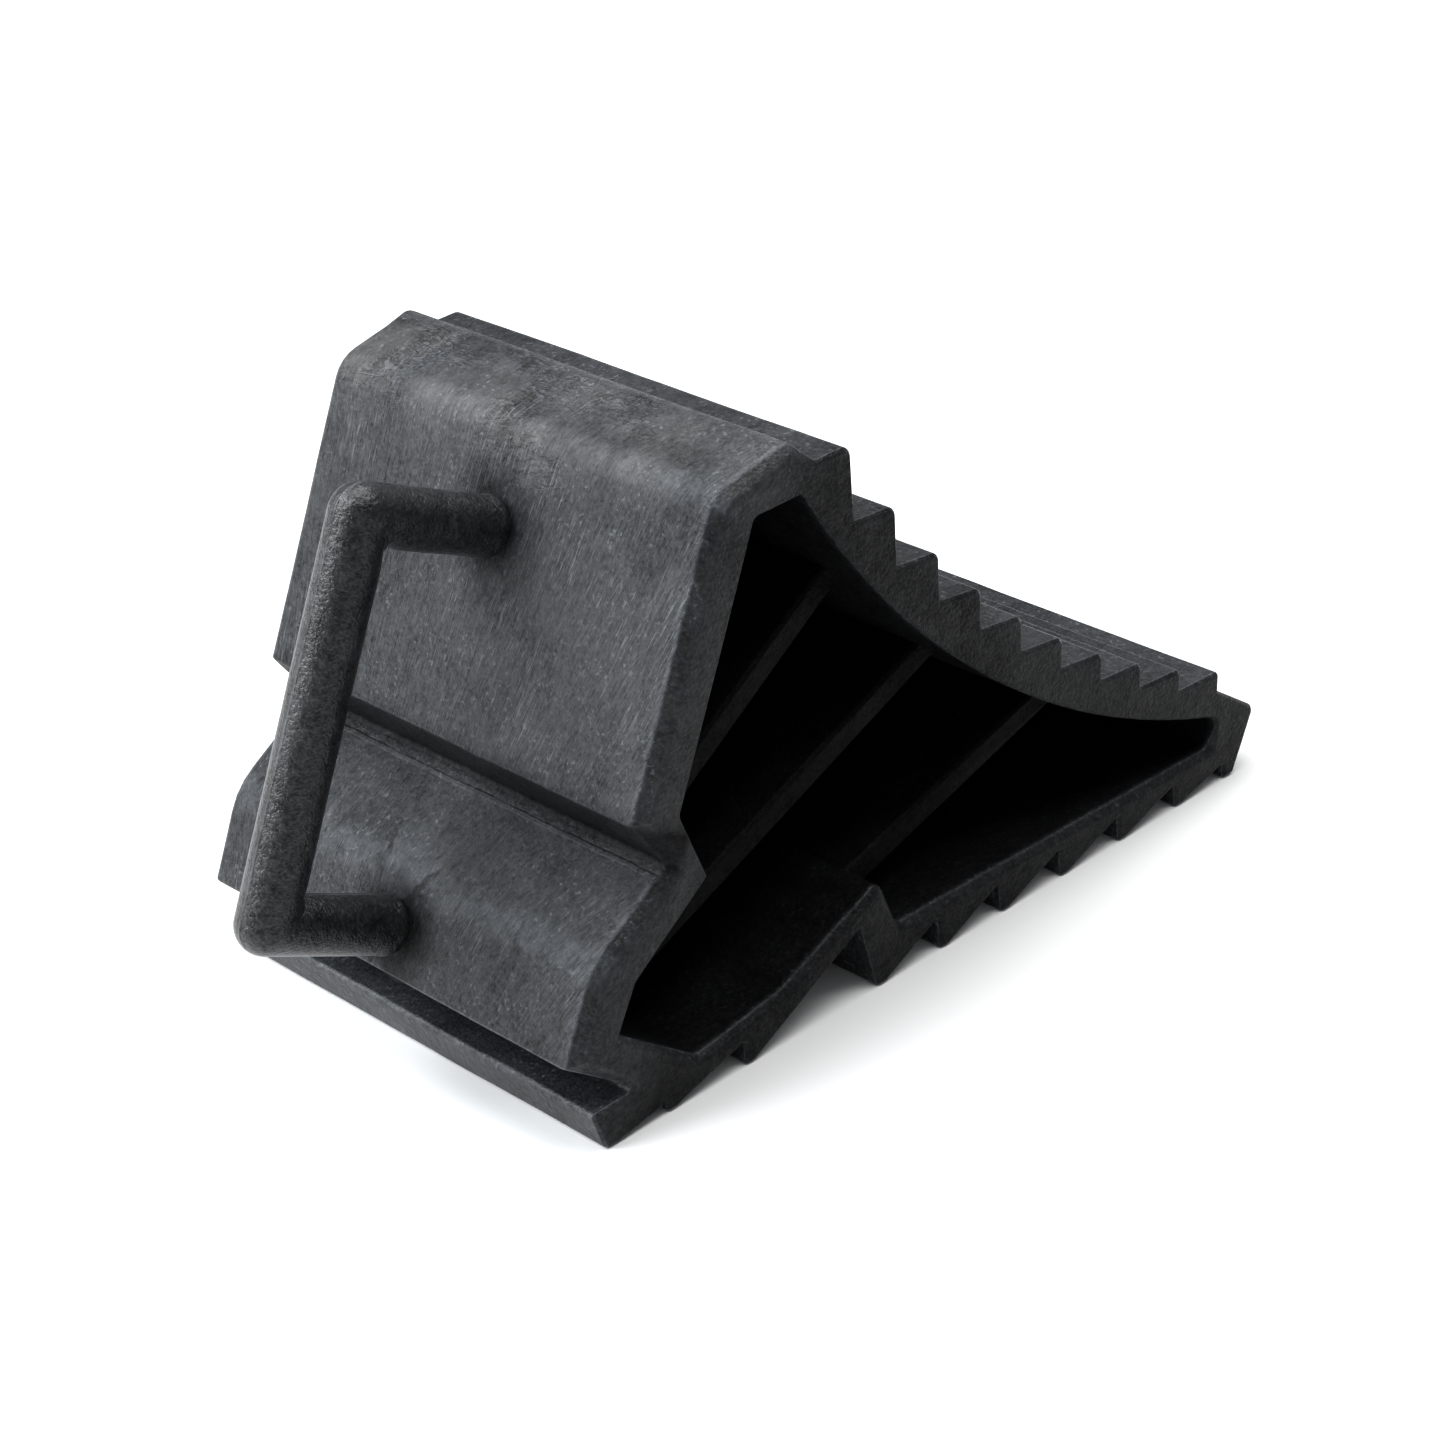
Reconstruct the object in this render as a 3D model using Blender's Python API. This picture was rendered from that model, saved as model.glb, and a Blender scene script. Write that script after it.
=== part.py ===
"""Rubber wheel chock with a stepped tyre face, ribbed side cavities and a rod handle.

Millimetres in the driving dimensions, metres in the meshes.
+X points to the thin toe, the back wall and the handle are at -X, Y is the width.
The side profile is drawn in X and Z with X = 0 at the heel, and is centred at the end.
"""

import math

import bmesh
import bpy
from mathutils import Vector

MM = 0.001
GAP = 0.3
MERGE = 0.0001
OVERRUN = 2.0
CREASE = math.radians(30.0)

# Overall
WIDTH = 150.0
ARC_STEP = math.radians(18.0)
EDGE_ROUND = 1.2
BROW_ROUND = 7.0

# Back wall: an upper panel, a slanted return below it and a lower panel parallel to the first
PANEL_LEAN = math.radians(26.0)
PANEL_FOOT = (21.5, 81.5)
PANEL_LENGTH = 82.5
VALLEY = (-9.1, -15.6)
LOWER_TOP = (-35.8, 2.0)
LOWER_BOTTOM = (-62.4, 2.0)
END_CHAMFER = 3.4

# Heel lip and the notch over it
NOTCH_ROOT = (13.5, 11.7)
HEEL_TOP = (-3.3, 11.6)

# Crest and the groove behind the first step
CREST = (82.5, 160.8)
GROOVE_X = 89.0

# Tyre face: the step crests and the step roots lie on two arcs
STEPS = 10
STEP_START = 101.4
STEP_PITCH = 13.3
STEP_GROWTH = 0.15
STEP_UNDERCUT = 0.8
STEP_ROUND = 3.2
STEP_ROUND_FALL = 0.2
CREST_ARC = ((343.2, 288.9), 277.1)
ROOT_ARC = ((341.6, 301.7), 294.2)

# Toe
TOE_CORNER = (247.4, 17.4)
TOE_FOOT = (237.6, 0.0)
TOE_REAR = 233.4
TOE_HEIGHT = 4.5
TOE_ROUND = 2.6

# Underside: (rear face, height of that face) for the heel teeth, then evenly pitched barbs
HEEL_FLAT = 4.5
HEEL_ROUND = 2.0
HEEL_TEETH = ((21.0, 2.7), (48.0, 6.8))
TOOTH_FLAT = 3.0
TOOTH_ROUND = 0.6
ARCH_TOP = (91.5, 20.0)
BIG_TOOTH = 95.3
BARBS = 5
BARB_PITCH = 23.55
BARB_HEIGHT = 9.3
BARB_FALL = 0.6

# Side cavities: one each side of a central web
WEB = 14.0
WALL_BACK = 13.3
CAVITY_TOP = 79.0
CAVITY_FOOT = 4.0
CAVITY_KINK = (-11.1, -27.9)
CAVITY_LOWER_TOP = (-38.8, -12.3)
CAVITY_LOWER_BOTTOM = (-52.9, -12.3)
CAVITY_FLOOR = ((33.0, 10.4), (63.0, 14.8), (99.8, 29.6), (105.0, 14.3), (228.5, 11.7))
CAVITY_ARC = ((313.3, 266.2), 258.7)
CAVITY_ARC_POINTS = 14
CAVITY_TOE_X = 231.8
CAVITY_ROUND = 3.0

# Ribs: (x and z of a point on the centre line, slope)
RIBS = ((77.3, 93.4, 0.637), (89.6, 57.8, 0.406), (117.3, 26.2, 0.2935))
RIB_THICK = 7.5
RIB_REACH = 200.0
RIB_SETBACK = 16.5

# Handle
HANDLE_R = 8.0
HANDLE_OUT = 43.3
LEG_UPPER = 55.5
LEG_LOWER = -50.0
LOWER_OUT = LOWER_TOP[1]
COLLAR_R = 9.6
COLLAR_LENGTH = 3.5
CORE_R = 4.0
CORE_BEND = 9.0
RING_SIDES = 32
CORNER_RINGS = 6

# Anchors on the buried ends of the steel core
BURIED = 33.0
WASHER_R = 10.0
WASHER_THICK = 3.0
HEAD_R = 6.5
HEAD_THICK = 3.0
BOSS_R = 15.0
BOSS_START = 5.0
BOSS_END = 48.0

HALF = WIDTH / 2.0
LEGS = (("upper", LEG_UPPER, 0.0), ("lower", LEG_LOWER, LOWER_OUT))
OUTWARD = (-math.cos(PANEL_LEAN), math.sin(PANEL_LEAN))
UPWARD = (math.sin(PANEL_LEAN), math.cos(PANEL_LEAN))


# ---------------------------------------------------------------- geometry helpers

def on_panel(along, out):
    """Point of the side profile, measured up the upper panel and straight out of it."""
    x = PANEL_FOOT[0] + along * UPWARD[0] + out * OUTWARD[0]
    z = PANEL_FOOT[1] + along * UPWARD[1] + out * OUTWARD[1]
    return (x, z)


def arc_height(arc, x):
    """Height of the lower half of a circle at x."""
    (centre_x, centre_z), radius = arc
    return centre_z - math.sqrt(radius ** 2 - (x - centre_x) ** 2)


def rounded(corners, closed=True):
    """Replace each (x, z, radius) corner by an arc that touches both of its sides."""
    points = []
    count = len(corners)
    for index, (x, z, radius) in enumerate(corners):
        corner = Vector((x, z))
        if radius <= 0.0 or not (closed or 0 < index < count - 1):
            points.append(corner)
            continue
        before = (Vector(corners[index - 1][:2]) - corner).normalized()
        after = (Vector(corners[(index + 1) % count][:2]) - corner).normalized()
        half_angle = before.angle(after) / 2.0
        centre = corner + (before + after).normalized() * (radius / math.sin(half_angle))
        reach = radius / math.tan(half_angle)
        first = corner + before * reach - centre
        last = corner + after * reach - centre
        start = math.atan2(first.y, first.x)
        turn = (math.atan2(last.y, last.x) - start + math.pi) % math.tau - math.pi
        steps = max(1, math.ceil(abs(turn) / ARC_STEP))
        for step in range(steps + 1):
            angle = start + turn * step / steps
            points.append(centre + Vector((math.cos(angle), math.sin(angle))) * radius)
    return points


# ---------------------------------------------------------------- side profiles

def tooth(face, height, edge):
    """Saw tooth of the underside: an upright rear face, then a narrow flat."""
    return [(face, height, 0.0), (face, 0.0, edge), (face + TOOTH_FLAT, 0.0, edge)]


def underside():
    """Heel lip, heel teeth, arch, big tooth and barbs, from the heel to the toe."""
    corners = [(0.0, 0.0, HEEL_ROUND), (HEEL_FLAT, 0.0, 0.0)]
    for face, height in HEEL_TEETH:
        corners += tooth(face, height, TOOTH_ROUND)
    corners += [(*ARCH_TOP, 0.0)]
    corners += tooth(BIG_TOOTH, 0.0, TOOTH_ROUND)[1:]
    for barb in range(1, BARBS + 1):
        height = BARB_HEIGHT - BARB_FALL * (barb - 1)
        corners += tooth(BIG_TOOTH + BARB_PITCH * barb, height, TOOTH_ROUND)
    corners += tooth(TOE_REAR, TOE_HEIGHT, TOOTH_ROUND)[:2]
    return corners


def tyre_face():
    """Steps from the toe up to the groove behind the first one."""
    corners = []
    for step in reversed(range(STEPS)):
        x = STEP_START + STEP_PITCH * step + STEP_GROWTH * step ** 2
        root_x = x - STEP_UNDERCUT
        corners.append((root_x, arc_height(ROOT_ARC, root_x), 0.0))
        corners.append((x, arc_height(CREST_ARC, x), STEP_ROUND - STEP_ROUND_FALL * step))
    corners.append((GROOVE_X, corners[-1][1], EDGE_ROUND))
    return corners


def back_wall():
    """Crest, upper panel, valley, lower panel, notch and heel lip, going down."""
    return [
        (*CREST, EDGE_ROUND),
        (*on_panel(PANEL_LENGTH, 0.0), BROW_ROUND),
        (*on_panel(0.0, 0.0), 0.0),
        (*on_panel(*VALLEY), EDGE_ROUND),
        (*on_panel(*LOWER_TOP), BROW_ROUND),
        (*on_panel(*LOWER_BOTTOM), 0.0),
        (*NOTCH_ROOT, EDGE_ROUND),
        (*HEEL_TOP, EDGE_ROUND),
    ]


def body_outline():
    """Closed side profile of the chock."""
    toe = [(*TOE_FOOT, EDGE_ROUND), (*TOE_CORNER, TOE_ROUND)]
    return rounded(underside() + toe + tyre_face() + back_wall())


def cavity_outline():
    """Closed side profile of a side cavity."""
    top_x, top_z = on_panel(CAVITY_TOP, -WALL_BACK)
    (centre_x, centre_z), radius = CAVITY_ARC
    arc_top_x = centre_x - math.sqrt(radius ** 2 - (centre_z - top_z) ** 2)
    corners = [(x, z, CAVITY_ROUND) for x, z in CAVITY_FLOOR]
    corners.append((CAVITY_TOE_X, arc_height(CAVITY_ARC, CAVITY_TOE_X), CAVITY_ROUND))
    for index in range(1, CAVITY_ARC_POINTS):
        x = CAVITY_TOE_X + (arc_top_x - CAVITY_TOE_X) * index / CAVITY_ARC_POINTS
        corners.append((x, arc_height(CAVITY_ARC, x), 0.0))
    corners.append((arc_top_x, top_z, EDGE_ROUND))
    corners.append((top_x, top_z, CAVITY_ROUND))
    corners.append((*on_panel(CAVITY_FOOT, -WALL_BACK), CAVITY_ROUND))
    corners.append((*on_panel(*CAVITY_KINK), 0.0))
    corners.append((*on_panel(*CAVITY_LOWER_TOP), EDGE_ROUND))
    corners.append((*on_panel(*CAVITY_LOWER_BOTTOM), EDGE_ROUND))
    return rounded(corners)


def rib_outline(x, z, slope):
    """Long strip along the centre line of a rib."""
    run = Vector((1.0, slope)).normalized()
    rise = Vector((-run.y, run.x)) * (RIB_THICK / 2.0)
    low = Vector((x, z)) - run * RIB_REACH
    high = Vector((x, z)) + run * RIB_REACH
    return [low - rise, high - rise, high + rise, low + rise]


# ---------------------------------------------------------------- mesh helpers

def clear_scene():
    """Remove whatever objects the file opened with."""
    for item in list(bpy.data.objects):
        bpy.data.objects.remove(item, do_unlink=True)


def make_material(name, colour, roughness, metallic):
    """Principled material of one sub-part."""
    result = bpy.data.materials.new(name)
    result.use_nodes = True
    shader = result.node_tree.nodes["Principled BSDF"]
    shader.inputs["Base Color"].default_value = (*colour, 1.0)
    shader.inputs["Roughness"].default_value = roughness
    shader.inputs["Metallic"].default_value = metallic
    result.diffuse_color = (*colour, 1.0)
    return result


def make_object(mesh, name, parent, look=None):
    """Turn a bmesh in millimetres into an object in metres, creased where it turns sharply."""
    bmesh.ops.remove_doubles(mesh, verts=mesh.verts, dist=MERGE)
    bmesh.ops.scale(mesh, vec=(MM, MM, MM), verts=mesh.verts)
    bmesh.ops.recalc_face_normals(mesh, faces=mesh.faces)
    for face in mesh.faces:
        face.smooth = True
    for edge in mesh.edges:
        edge.smooth = edge.calc_face_angle(0.0) < CREASE
    data = bpy.data.meshes.new(name)
    mesh.to_mesh(data)
    mesh.free()
    item = bpy.data.objects.new(name, data)
    bpy.context.scene.collection.objects.link(item)
    item.parent = parent
    if look is not None:
        data.materials.append(look)
    return item


def boolean(item, tool, operation="DIFFERENCE"):
    """Add an exact Boolean modifier and hide its tool."""
    change = item.modifiers.new(tool.name, "BOOLEAN")
    change.solver = "EXACT"
    change.operation = operation
    change.object = tool
    tool.hide_render = True
    tool.display_type = "WIRE"


def prism(outline, y_low, y_high):
    """Solid with a flat outline in X and Z, between two Y planes."""
    mesh = bmesh.new()
    face = mesh.faces.new([mesh.verts.new((point[0], y_low, point[1])) for point in outline])
    grown = bmesh.ops.extrude_face_region(mesh, geom=[face])
    moved = [part for part in grown["geom"] if isinstance(part, bmesh.types.BMVert)]
    bmesh.ops.translate(mesh, vec=(0.0, y_high - y_low, 0.0), verts=moved)
    return mesh


def in_space(flat):
    """Middle-plane vector of an (x, z) pair."""
    return Vector((flat[0], 0.0, flat[1]))


def ring(centre, normal, radius):
    """Circle of points round a centre, spanned by a normal and the Y axis."""
    points = []
    for index in range(RING_SIDES):
        angle = math.tau * index / RING_SIDES
        side = Vector((0.0, math.sin(angle) * radius, 0.0))
        points.append(centre + normal * (math.cos(angle) * radius) + side)
    return points


def loft(rings):
    """Solid through closed rings of equal length, with a cap at each end."""
    mesh = bmesh.new()
    loops = [[mesh.verts.new(point) for point in points] for points in rings]
    for first, second in zip(loops, loops[1:]):
        for index in range(RING_SIDES):
            after = (index + 1) % RING_SIDES
            mesh.faces.new((first[index], first[after], second[after], second[index]))
    mesh.faces.new(loops[0][::-1])
    mesh.faces.new(loops[-1])
    return mesh


def post(along, out_low, out_high, radius):
    """Cylinder square to the upper panel, in the middle plane."""
    ends = (out_low, out_high)
    return loft([ring(in_space(on_panel(along, out)), in_space(UPWARD), radius) for out in ends])


def bent_bar(path, radius):
    """Round bar along a flat path in the middle plane."""
    rings = []
    for index, point in enumerate(path):
        before = path[max(index - 1, 0)]
        after = path[min(index + 1, len(path) - 1)]
        run = (after - before).normalized()
        rings.append(ring(in_space(point), Vector((-run.y, 0.0, run.x)), radius))
    return loft(rings)


# ---------------------------------------------------------------- body

def chamfer_ends(mesh):
    """Chamfer the back wall where it meets the two end faces."""
    back = rounded(back_wall(), closed=False)[1:]
    lowest = on_panel(*LOWER_BOTTOM)[1] - GAP
    wall = {(round(point.x, 3), round(point.y, 3)) for point in back if point.y > lowest}
    chosen = []
    for edge in mesh.edges:
        ends = [vert.co for vert in edge.verts]
        flat = abs(ends[0].y - ends[1].y) < GAP
        if flat and all((round(end.x, 3), round(end.z, 3)) in wall for end in ends):
            chosen.append(edge)
    bmesh.ops.bevel(mesh, geom=chosen, offset=END_CHAMFER, segments=2, profile=0.5,
                    affect="EDGES")


def cavity_tool(parent):
    """Space of both side cavities, with the ribs and the handle bosses left standing."""
    tool = make_object(prism(cavity_outline(), WEB / 2.0, HALF + OVERRUN), "cavity_tool", parent)
    for index, rib in enumerate(RIBS):
        strip = prism(rib_outline(*rib), -OVERRUN, HALF - RIB_SETBACK)
        boolean(tool, make_object(strip, f"rib_tool_{index + 1}", parent))
    for name, along, base in LEGS:
        boss = post(along, base - BOSS_END, base - BOSS_START, BOSS_R)
        boolean(tool, make_object(boss, f"{name}_boss_tool", parent))
    mirror = tool.modifiers.new("other_side", "MIRROR")
    mirror.use_axis = (False, True, False)
    mirror.use_mirror_merge = False
    return tool


def make_body(parent, look):
    """Moulded rubber wedge with its side cavities and the seats of the handle core."""
    mesh = prism(body_outline(), -HALF, HALF)
    chamfer_ends(mesh)
    body = make_object(mesh, "chock_body", parent, look)
    boolean(body, cavity_tool(parent))
    for name, along, base in LEGS:
        bore = post(along, base - BURIED, base + OVERRUN, CORE_R + GAP)
        boolean(body, make_object(bore, f"{name}_bore_tool", parent))
        deepest = base - BURIED - WASHER_THICK - HEAD_THICK - 2.0 * GAP
        seat = post(along, deepest, base - BURIED + GAP, WASHER_R + GAP)
        boolean(body, make_object(seat, f"{name}_seat_tool", parent))


# ---------------------------------------------------------------- handle

def core_path(start, end):
    """Bent line of the steel core between two depths in the wall."""
    corners = [
        (*on_panel(LEG_UPPER, start), 0.0),
        (*on_panel(LEG_UPPER, HANDLE_OUT), CORE_BEND),
        (*on_panel(LEG_LOWER, HANDLE_OUT), CORE_BEND),
        (*on_panel(LEG_LOWER, end), 0.0),
    ]
    return rounded(corners, closed=False)


def make_core(parent, look):
    """Steel rod bent to a U, with an upset head on each buried end."""
    depth = BURIED + WASHER_THICK + GAP
    bar = bent_bar(core_path(-depth, LOWER_OUT - depth), CORE_R)
    core = make_object(bar, "handle_core", parent, look)
    for name, along, base in LEGS:
        head = post(along, base - depth - HEAD_THICK, base - depth, HEAD_R)
        boolean(core, make_object(head, f"{name}_head_tool", parent), "UNION")


def corner_ring(centre, before, after, angle):
    """Ring of a mitred corner that is round outside and sharp inside."""
    normal = before * math.cos(angle) + after * math.sin(angle)
    points = ring(centre, normal, HANDLE_R)
    mitre = ring(centre, before + after, HANDLE_R)
    quarter = RING_SIDES // 4
    inside = range(quarter, RING_SIDES - quarter + 1)
    for index in inside:
        points[index] = mitre[index]
    return points


def make_sleeve(parent, look):
    """Rubber moulded round the core, with a small collar at the foot of each leg."""
    up = in_space(UPWARD)
    out = in_space(OUTWARD)
    turns = [math.pi / 2.0 * step / CORNER_RINGS for step in range(CORNER_RINGS + 1)]
    upper_foot = [in_space(on_panel(LEG_UPPER, GAP + rise)) for rise in (0.0, COLLAR_LENGTH)]
    lower_foot = [in_space(on_panel(LEG_LOWER, LOWER_OUT + GAP + rise))
                  for rise in (COLLAR_LENGTH, 0.0)]
    rings = [ring(upper_foot[0], up, COLLAR_R), ring(upper_foot[1], up, HANDLE_R)]
    upper_corner = in_space(on_panel(LEG_UPPER, HANDLE_OUT))
    rings += [corner_ring(upper_corner, up, out, turn) for turn in turns]
    lower_corner = in_space(on_panel(LEG_LOWER, HANDLE_OUT))
    rings += [corner_ring(lower_corner, out, -up, turn) for turn in turns]
    rings += [ring(lower_foot[0], -up, HANDLE_R), ring(lower_foot[1], -up, COLLAR_R)]
    sleeve = make_object(loft(rings), "handle_sleeve", parent, look)
    bore = bent_bar(core_path(-OVERRUN, LOWER_OUT - OVERRUN), CORE_R + GAP)
    boolean(sleeve, make_object(bore, "sleeve_bore_tool", parent))


def make_anchors(parent, look):
    """Steel washers that the heads of the core pull against."""
    for name, along, base in LEGS:
        disc = post(along, base - BURIED - WASHER_THICK, base - BURIED, WASHER_R)
        anchor = make_object(disc, f"{name}_anchor", parent, look)
        hole = post(along, base - BURIED - WASHER_THICK - OVERRUN, base, CORE_R + GAP)
        boolean(anchor, make_object(hole, f"{name}_anchor_tool", parent))


# ---------------------------------------------------------------- build

def build():
    """Model every sub-part and centre the chock, with its handle, over the origin."""
    clear_scene()
    body_rubber = make_material("body_rubber", (0.024, 0.025, 0.028), 0.62, 0.0)
    sleeve_rubber = make_material("sleeve_rubber", (0.020, 0.021, 0.024), 0.55, 0.0)
    rod_steel = make_material("rod_steel", (0.42, 0.41, 0.40), 0.38, 1.0)
    anchor_steel = make_material("anchor_steel", (0.50, 0.49, 0.47), 0.34, 1.0)
    rear = on_panel(LEG_LOWER, HANDLE_OUT)[0] - HANDLE_R
    front = max(point.x for point in body_outline())
    frame = bpy.data.objects.new("chock_frame", None)
    bpy.context.scene.collection.objects.link(frame)
    frame.location.x = -(rear + front) / 2.0 * MM
    make_body(frame, body_rubber)
    make_core(frame, rod_steel)
    make_sleeve(frame, sleeve_rubber)
    make_anchors(frame, anchor_steel)


build()
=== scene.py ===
"""Looks of the rubber wheel chock: moulded body, rubber handle, hidden steel, floor, light and camera.

The side profile is drawn in millimetres in X and Z with X = 0 at the heel, as in the CAD part. Places on
the back wall are given along the upper panel, from its foot, and out from it. Materials, lights and the
camera use metres in the CAD frame.
"""
import math

import bmesh
import bpy
from mathutils import Matrix, Vector, noise
from mathutils.geometry import tessellate_polygon
from mathutils.kdtree import KDTree


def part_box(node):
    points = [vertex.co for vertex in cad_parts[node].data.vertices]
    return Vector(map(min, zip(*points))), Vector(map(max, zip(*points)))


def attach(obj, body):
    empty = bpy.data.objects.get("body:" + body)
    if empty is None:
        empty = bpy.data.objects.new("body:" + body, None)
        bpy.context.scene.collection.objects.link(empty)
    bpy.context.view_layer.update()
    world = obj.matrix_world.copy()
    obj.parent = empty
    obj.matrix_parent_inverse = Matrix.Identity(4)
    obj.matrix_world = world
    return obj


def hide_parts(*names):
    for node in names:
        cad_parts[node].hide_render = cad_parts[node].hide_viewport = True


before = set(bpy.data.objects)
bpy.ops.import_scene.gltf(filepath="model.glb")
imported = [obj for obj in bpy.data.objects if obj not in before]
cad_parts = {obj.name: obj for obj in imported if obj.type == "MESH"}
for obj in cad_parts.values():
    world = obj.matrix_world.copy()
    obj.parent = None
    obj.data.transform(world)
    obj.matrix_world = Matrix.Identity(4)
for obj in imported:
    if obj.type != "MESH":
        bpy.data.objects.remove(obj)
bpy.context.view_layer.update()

# Without a seed, noise_vector gives other values in each run
NOISE_SEED = 1
noise.seed_set(NOISE_SEED)

MM = 0.001
HALF = 75.0
ACROSS = (0.0, 1.0, 0.0)

# Side profile, as in the CAD part
LEAN = math.radians(26.0)
PANEL_FOOT = (21.5, 81.5)
PANEL_LENGTH = 82.5
VALLEY = (-9.1, -15.6)
LOWER_TOP = (-35.8, 2.0)
LOWER_BOTTOM = (-62.4, 2.0)
NOTCH_ROOT = (13.5, 11.7)
HEEL_TOP = (-3.3, 11.6)
HEEL_FLAT = 4.5
CREST = (82.5, 160.8)
BROW_START = 0.35
GROOVE_X = 89.0
STEPS = 10
STEP_START = 101.4
STEP_PITCH = 13.3
STEP_GROWTH = 0.15
STEP_UNDERCUT = 0.8
CREST_ARC = ((343.2, 288.9), 277.1)
ROOT_ARC = ((341.6, 301.7), 294.2)
TOE_CORNER = (247.4, 17.4)
TOE_FOOT = (237.6, 0.0)
TOE_REAR = 233.4
TOE_HEIGHT = 4.5
HEEL_TEETH = ((21.0, 2.7), (48.0, 6.8))
TOOTH_FLAT = 3.0
ARCH_TOP = (91.5, 20.0)
BIG_TOOTH = 95.3
BARBS = 5
BARB_PITCH = 23.55
BARB_HEIGHT = 9.3
BARB_FALL = 0.6
WEB_HALF = 7.0
WALL_BACK = 13.3
CAVITY_TOP = 79.0
CAVITY_FOOT = 4.0
CAVITY_KINK = (-11.1, -27.9)
CAVITY_LOWER_TOP = (-38.8, -12.3)
CAVITY_LOWER_BOTTOM = (-52.9, -12.3)
CAVITY_FLOOR = ((33.0, 10.4), (63.0, 14.8), (99.8, 29.6), (105.0, 14.3), (228.5, 11.7))
CAVITY_ARC = ((313.3, 266.2), 258.7)
CAVITY_TOE_X = 231.8
RIBS = ((77.3, 93.4, 0.637), (89.6, 57.8, 0.406), (117.3, 26.2, 0.2935))
RIB_HALF = 3.75
RIB_FACE = 58.5

# Radii of the rounded edges that run across the chock; the steps' crests get sharper towards the toe
ROUND = {"heel": 2.0, "tooth": 0.8, "tooth_root": 0.5, "arch": 1.2, "toe_foot": 1.2, "toe": 2.4,
         "step_root": 0.7, "groove": 1.2, "crest": 3.6, "brow": 11.0, "panel_foot": 1.1, "valley": 1.4,
         "lower_top": 24.0, "lower_bottom": 0.9, "notch": 1.4, "heel_top": 1.3}
STEP_ROUND = 3.2
STEP_ROUND_FALL = 0.2
CAVITY_ROUND = {"floor": 3.0, "toe": 4.0, "wall_top": 1.2, "top": 3.0, "kink": 0.8, "lower": 1.5}

# Widths of the bevel round the end faces, round the cavity mouths and where a cavity meets the web
CHAMFER = 3.4
CREST_BEVEL = 2.6
EDGE = 0.9
MOUTH = 0.6
LIP = 1.9
WEB_FILLET = 1.4

# Mesh density: arcs, straight runs, bevels, rows across the width and down the cavities
ARC_STEP = math.radians(15.0)
SHARP_TURN = 0.02
LEAST_RADIUS = 0.08
POINT_SPACING = 5.0
BEVEL_POINTS = 4
BEVEL_ROUND = 0.8
CAVITY_WALL_STEPS = 24
SKIN_ROWS = 22
SKIN_HALF = 70.0
CAVITY_ROWS = (71.5, 66.0, 58.0, 48.0, 36.0, 24.0, 12.0)

# Ribs: how far a rib's centre line is followed, how deep its ends sink into the walls, and its edges
RIB_REACH = 200.0
RIB_PROBE = 0.25
RIB_SINK = 3.5
RIB_ROUND = 0.5

# Wear values, which also carry a painted highlight on the rounded edges, and inside values, which carry
# painted shade in the cavities, kept on the vertices for the material
MOUTH_WEAR_AND_HIGHLIGHT = 0.6
MOUTH_INSIDE = 0.5
RIB_WEAR_AND_HIGHLIGHT = 0.5
RIB_INSIDE = 0.76
SAME_PLACE = 0.00002

# Handle and what holds it
HANDLE_R = 8.0
HANDLE_OUT = 43.3
LEG_UPPER = 55.5
LEG_LOWER = -50.0
LOWER_OUT = LOWER_TOP[1]
FEET = (("upper", LEG_UPPER, 0.0), ("lower", LEG_LOWER, LOWER_OUT))
FOOT_BEAD = ((0.3, 6.9), (0.5, 7.3), (0.9, 7.7), (1.5, 8.0), (2.3, 8.2), (3.3, 8.2), (4.6, 8.0))
SIDES = 48
LEG_STEPS = 8
GRIP_STEPS = 26
BEND_STEPS = 9
BEND_GAP = 1.0
BEND_SLIDE = 2.4
BEND_TUCK = 1.4
BORE = 4.3
BORE_START = 2.0
BORE_END = 14.0
SEAT = 10.3
BURIED = 33.0
SEAT_DEPTH = 6.6
BOSS_R = 15.0
BOSS_START = 5.0
BOSS_END = 48.0

# Boss, bore and washer seat behind each foot: both ends out from the wall, radius and what is done with it.
# The bore runs past the wall and into the seat, and the seat starts a little above the washer.
BORE_OVERRUN = 3.0
BORE_INTO_SEAT = 1.0
SEAT_GAP = 0.3
SOCKETS = (("boss", -BOSS_END, -BOSS_START, BOSS_R, "UNION"),
           ("bore", -BURIED - BORE_INTO_SEAT, BORE_OVERRUN, BORE, "DIFFERENCE"),
           ("seat", -BURIED - SEAT_DEPTH, -BURIED + SEAT_GAP, SEAT, "DIFFERENCE"))

# Unevenness of the rubber in metres: how far a point may wander, and over what distance. Short waves have
# these shares of that distance and height, and start at another place of the noise.
BODY_WANDER = (0.00022, 0.045)
HANDLE_WANDER = (0.00016, 0.03)
SHORT_REACH = 0.3
SHORT_HEIGHT = 0.4
SHORT_START = Vector((3.0, 1.0, 7.0))

# Edges that turn by more than this many degrees stay sharp
BODY_SHARP = 32.0
HANDLE_SHARP = 40.0

UPWARD = (math.sin(LEAN), math.cos(LEAN))
OUTWARD = (-math.cos(LEAN), math.sin(LEAN))


def on_panel(along, out):
    x = PANEL_FOOT[0] + along * UPWARD[0] + out * OUTWARD[0]
    z = PANEL_FOOT[1] + along * UPWARD[1] + out * OUTWARD[1]
    return (x, z)


def in_space(flat):
    return Vector((flat[0], 0.0, flat[1]))


def arc_height(arc, x):
    (centre_x, centre_z), radius = arc
    return centre_z - math.sqrt(radius ** 2 - (x - centre_x) ** 2)


# ------------------------------------------------------------------ outlines with bevel widths

def turn_at(corners, index):
    """Directions before and after a corner, and the signed turn between them."""
    here = Vector(corners[index][:2])
    before = (here - Vector(corners[index - 1][:2])).normalized()
    after = (Vector(corners[(index + 1) % len(corners)][:2]) - here).normalized()
    return before, after, math.atan2(before.cross(after), before.dot(after))


def arc_steps(radius, turn):
    """Segments of a corner's arc, or 0 where the corner stays sharp."""
    if radius <= 0.0 or abs(turn) < SHARP_TURN:
        return 0
    return max(2, math.ceil(abs(turn) / ARC_STEP))


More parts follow.
